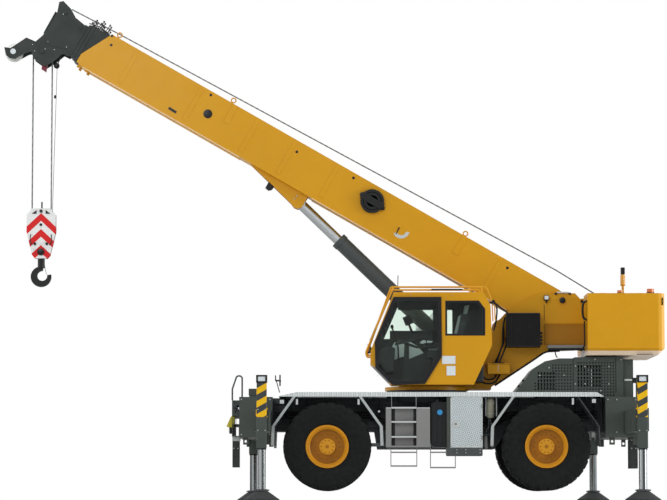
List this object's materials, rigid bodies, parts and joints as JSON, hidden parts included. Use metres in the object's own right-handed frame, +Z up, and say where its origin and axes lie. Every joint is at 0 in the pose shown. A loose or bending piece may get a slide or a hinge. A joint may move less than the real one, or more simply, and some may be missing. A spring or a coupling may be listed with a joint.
{
  "type": "mobile crane",
  "caption": "Two-axle rough-terrain crane on four run-out outriggers, with a telescopic boom, side cab, counterweight and hanging hook block.",
  "frame": {"origin": "on the ground, under the middle of the crane's box", "axes": "+X forward, +Y to the cab's side, +Z up"},
  "size_m": [11.3374, 6.6838, 8.6543],
  "materials": {
    "crane_yellow": "gloss enamel",
    "carrier_grey": "satin enamel",
    "head_grey": "satin enamel",
    "deck_plate": "chequer plate",
    "fender_black": "satin enamel",
    "tyre_rubber": "moulded rubber",
    "rim_orange": "gloss enamel",
    "chrome_rod": "hard chrome",
    "black_steel": "satin enamel",
    "engine_iron": "cast",
    "belt_rubber": "moulded rubber",
    "ladder_grey": "satin enamel",
    "tool_plate": "chequer plate",
    "lamp_housing": "moulded",
    "amber_lamp": "moulded",
    "cab_glass": "tinted",
    "cab_trim": "moulded",
    "steel_rope": "stranded wire",
    "block_white": "gloss enamel",
    "sheave_steel": "machined grooves",
    "drum_steel": "satin enamel",
    "door_frame": "satin enamel"
  },
  "bodies": {
    "carrier": {"chassis_frame": "fender_black", "outrigger_boxes": "carrier_grey", "carrier_deck": "deck_plate", "fenders": "fender_black", "engine_hood": "carrier_grey", "engine_block": "engine_iron", "front_bumper": "carrier_grey", "hanging_steps": "belt_rubber", "side_ladder": "ladder_grey", "toolbox": "tool_plate", "side_tanks": "fender_black", "lamps": "lamp_housing", "axles": "fender_black"},
    "superstructure": {"turret": "crane_yellow", "counterweight": "crane_yellow", "cooler_box": "black_steel", "beacons": "amber_lamp", "cab_floor": "crane_yellow", "cab_roof": "crane_yellow", "cab_rear_wall": "crane_yellow", "cab_left_wall": "crane_yellow", "cab_right_wall": "crane_yellow", "cab_glass": "cab_glass", "cab_interior": "cab_trim", "guard_rail": "crane_yellow"},
    "cab_door": {"cab_door": "door_frame", "door_glass": "cab_glass"},
    "main_winch": {"main_winch": "drum_steel"},
    "aux_winch": {"aux_winch": "drum_steel"},
    "boom": {"boom_base": "crane_yellow", "cable_reel": "black_steel"},
    "boom_section_2": {"boom_section_2": "head_grey"},
    "boom_section_3": {"boom_section_3": "head_grey"},
    "boom_tip": {"boom_tip": "head_grey", "boom_sheaves": "sheave_steel"},
    "lift_rod": {"lift_rod": "chrome_rod"},
    "lift_barrel": {"lift_barrel": "black_steel"},
    "hook_line": {"hoist_falls": "steel_rope"},
    "hook_block": {"hook_block": "block_white"},
    "hook": {"hook": "black_steel"},
    "knuckle_front_left": {"knuckle_front_left": "fender_black"},
    "wheel_front_left": {"tyre_front_left": "tyre_rubber", "rim_front_left": "rim_orange"},
    "outrigger_front_left": {"beam_front_left": "carrier_grey"},
    "jack_front_left": {"jack_front_left": "chrome_rod"},
    "knuckle_front_right": {"knuckle_front_right": "fender_black"},
    "wheel_front_right": {"tyre_front_right": "tyre_rubber", "rim_front_right": "rim_orange"},
    "outrigger_front_right": {"beam_front_right": "carrier_grey"},
    "jack_front_right": {"jack_front_right": "chrome_rod"},
    "knuckle_rear_left": {"knuckle_rear_left": "fender_black"},
    "wheel_rear_left": {"tyre_rear_left": "tyre_rubber", "rim_rear_left": "rim_orange"},
    "outrigger_rear_left": {"beam_rear_left": "carrier_grey"},
    "jack_rear_left": {"jack_rear_left": "chrome_rod"},
    "knuckle_rear_right": {"knuckle_rear_right": "fender_black"},
    "wheel_rear_right": {"tyre_rear_right": "tyre_rubber", "rim_rear_right": "rim_orange"},
    "outrigger_rear_right": {"beam_rear_right": "carrier_grey"},
    "jack_rear_right": {"jack_rear_right": "chrome_rod"}
  },
  "joints": [
    {"name": "slew", "type": "hinge", "parent": "carrier", "child": "superstructure", "pos_m": [-1.65867, 0, 1.88], "axis": [0, 0, 1], "continuous": true},
    {"name": "boom_lift", "type": "hinge", "parent": "superstructure", "child": "boom", "pos_m": [-3.97967, 0, 3.425], "axis": [0, -1, 0], "range_deg": [-32.9, 48.1]},
    {"name": "boom_extend", "type": "slide", "parent": "boom", "child": "boom_section_2", "axis": [0.8669, 0, 0.4985], "range_m": [0, 7.15]},
    {"name": "section_3_extend", "type": "slide", "parent": "boom_section_2", "child": "boom_section_3", "axis": [0.8669, 0, 0.4985], "range_m": [0, 7.15]},
    {"name": "tip_extend", "type": "slide", "parent": "boom_section_3", "child": "boom_tip", "axis": [0.8669, 0, 0.4985], "range_m": [0, 7.15]},
    {"name": "lift_rod_turn", "type": "hinge", "parent": "boom", "child": "lift_rod", "pos_m": [0.54109, 0, 5.15017], "axis": [0, -1, 0], "range_deg": [-5.89, 8.48]},
    {"name": "lift_barrel_slide", "type": "slide", "parent": "lift_rod", "child": "lift_barrel", "axis": [-0.7202, 0, -0.6938], "range_m": [-0.8112, 1.1837]},
    {"name": "hook_plumb", "type": "hinge", "parent": "boom_tip", "child": "hook_line", "pos_m": [5.00868, 0, 7.77221], "axis": [0, -1, 0], "range_deg": [-48.1, 32.9]},
    {"name": "hook_hoist", "type": "slide", "parent": "hook_line", "child": "hook_block", "axis": [0, 0, -1], "range_m": [-1.9, 3.6], "deforming": ["hoist_falls"]},
    {"name": "hook_swivel", "type": "hinge", "parent": "hook_block", "child": "hook", "pos_m": [5.00868, 0, 4.174], "axis": [0, 0, 1], "continuous": true},
    {"name": "main_winch_turn", "type": "hinge", "parent": "superstructure", "child": "main_winch", "pos_m": [-4.79867, 0, 3.235], "axis": [0, 1, 0], "continuous": true},
    {"name": "aux_winch_turn", "type": "hinge", "parent": "superstructure", "child": "aux_winch", "pos_m": [-5.29867, 0, 3.235], "axis": [0, 1, 0], "continuous": true},
    {"name": "cab_door_slide", "type": "slide", "parent": "superstructure", "child": "cab_door", "axis": [-1, 0, 0], "range_m": [0, 0.65]},
    {"name": "steer_front_left", "type": "hinge", "parent": "carrier", "child": "knuckle_front_left", "pos_m": [0.05233, 0.72, 0.906], "axis": [0, 0, 1], "range_deg": [-22, 22]},
    {"name": "spin_front_left", "type": "hinge", "parent": "knuckle_front_left", "child": "wheel_front_left", "pos_m": [0.05233, 1.01, 0.906], "axis": [0, 1, 0], "continuous": true},
    {"name": "outrigger_slide_front_left", "type": "slide", "parent": "carrier", "child": "outrigger_front_left", "axis": [0, -1, 0], "range_m": [0, 1.84]},
    {"name": "jack_slide_front_left", "type": "slide", "parent": "outrigger_front_left", "child": "jack_front_left", "axis": [0, 0, 1], "range_m": [-0.04, 0.6]},
    {"name": "steer_front_right", "type": "hinge", "parent": "carrier", "child": "knuckle_front_right", "pos_m": [0.05233, -0.72, 0.906], "axis": [0, 0, 1], "range_deg": [-22, 22]},
    {"name": "spin_front_right", "type": "hinge", "parent": "knuckle_front_right", "child": "wheel_front_right", "pos_m": [0.05233, -1.01, 0.906], "axis": [0, 1, 0], "continuous": true},
    {"name": "outrigger_slide_front_right", "type": "slide", "parent": "carrier", "child": "outrigger_front_right", "axis": [0, 1, 0], "range_m": [0, 1.84]},
    {"name": "jack_slide_front_right", "type": "slide", "parent": "outrigger_front_right", "child": "jack_front_right", "axis": [0, 0, 1], "range_m": [-0.04, 0.6]},
    {"name": "steer_rear_left", "type": "hinge", "parent": "carrier", "child": "knuckle_rear_left", "pos_m": [-3.64067, 0.72, 0.906], "axis": [0, 0, 1], "range_deg": [-22, 22]},
    {"name": "spin_rear_left", "type": "hinge", "parent": "knuckle_rear_left", "child": "wheel_rear_left", "pos_m": [-3.64067, 1.01, 0.906], "axis": [0, 1, 0], "continuous": true},
    {"name": "outrigger_slide_rear_left", "type": "slide", "parent": "carrier", "child": "outrigger_rear_left", "axis": [0, -1, 0], "range_m": [0, 1.84]},
    {"name": "jack_slide_rear_left", "type": "slide", "parent": "outrigger_rear_left", "child": "jack_rear_left", "axis": [0, 0, 1], "range_m": [-0.04, 0.6]},
    {"name": "steer_rear_right", "type": "hinge", "parent": "carrier", "child": "knuckle_rear_right", "pos_m": [-3.64067, -0.72, 0.906], "axis": [0, 0, 1], "range_deg": [-22, 22]},
    {"name": "spin_rear_right", "type": "hinge", "parent": "knuckle_rear_right", "child": "wheel_rear_right", "pos_m": [-3.64067, -1.01, 0.906], "axis": [0, 1, 0], "continuous": true},
    {"name": "outrigger_slide_rear_right", "type": "slide", "parent": "carrier", "child": "outrigger_rear_right", "axis": [0, 1, 0], "range_m": [0, 1.84]},
    {"name": "jack_slide_rear_right", "type": "slide", "parent": "outrigger_rear_right", "child": "jack_rear_right", "axis": [0, 0, 1], "range_m": [-0.04, 0.6]}
  ],
  "couplings": [
    {"joint": "section_3_extend", "follows": "boom_extend", "ratio": 1},
    {"joint": "tip_extend", "follows": "boom_extend", "ratio": 1},
    {"joint": "lift_rod_turn", "follows": "boom_lift", "ratio": 0.17},
    {"joint": "lift_barrel_slide", "follows": "boom_lift", "m_per_rad": 1.404},
    {"joint": "hook_plumb", "follows": "boom_lift", "ratio": -1},
    {"joint": "steer_front_right", "follows": "steer_front_left", "ratio": 1},
    {"joint": "steer_rear_right", "follows": "steer_rear_left", "ratio": 1}
  ]
}
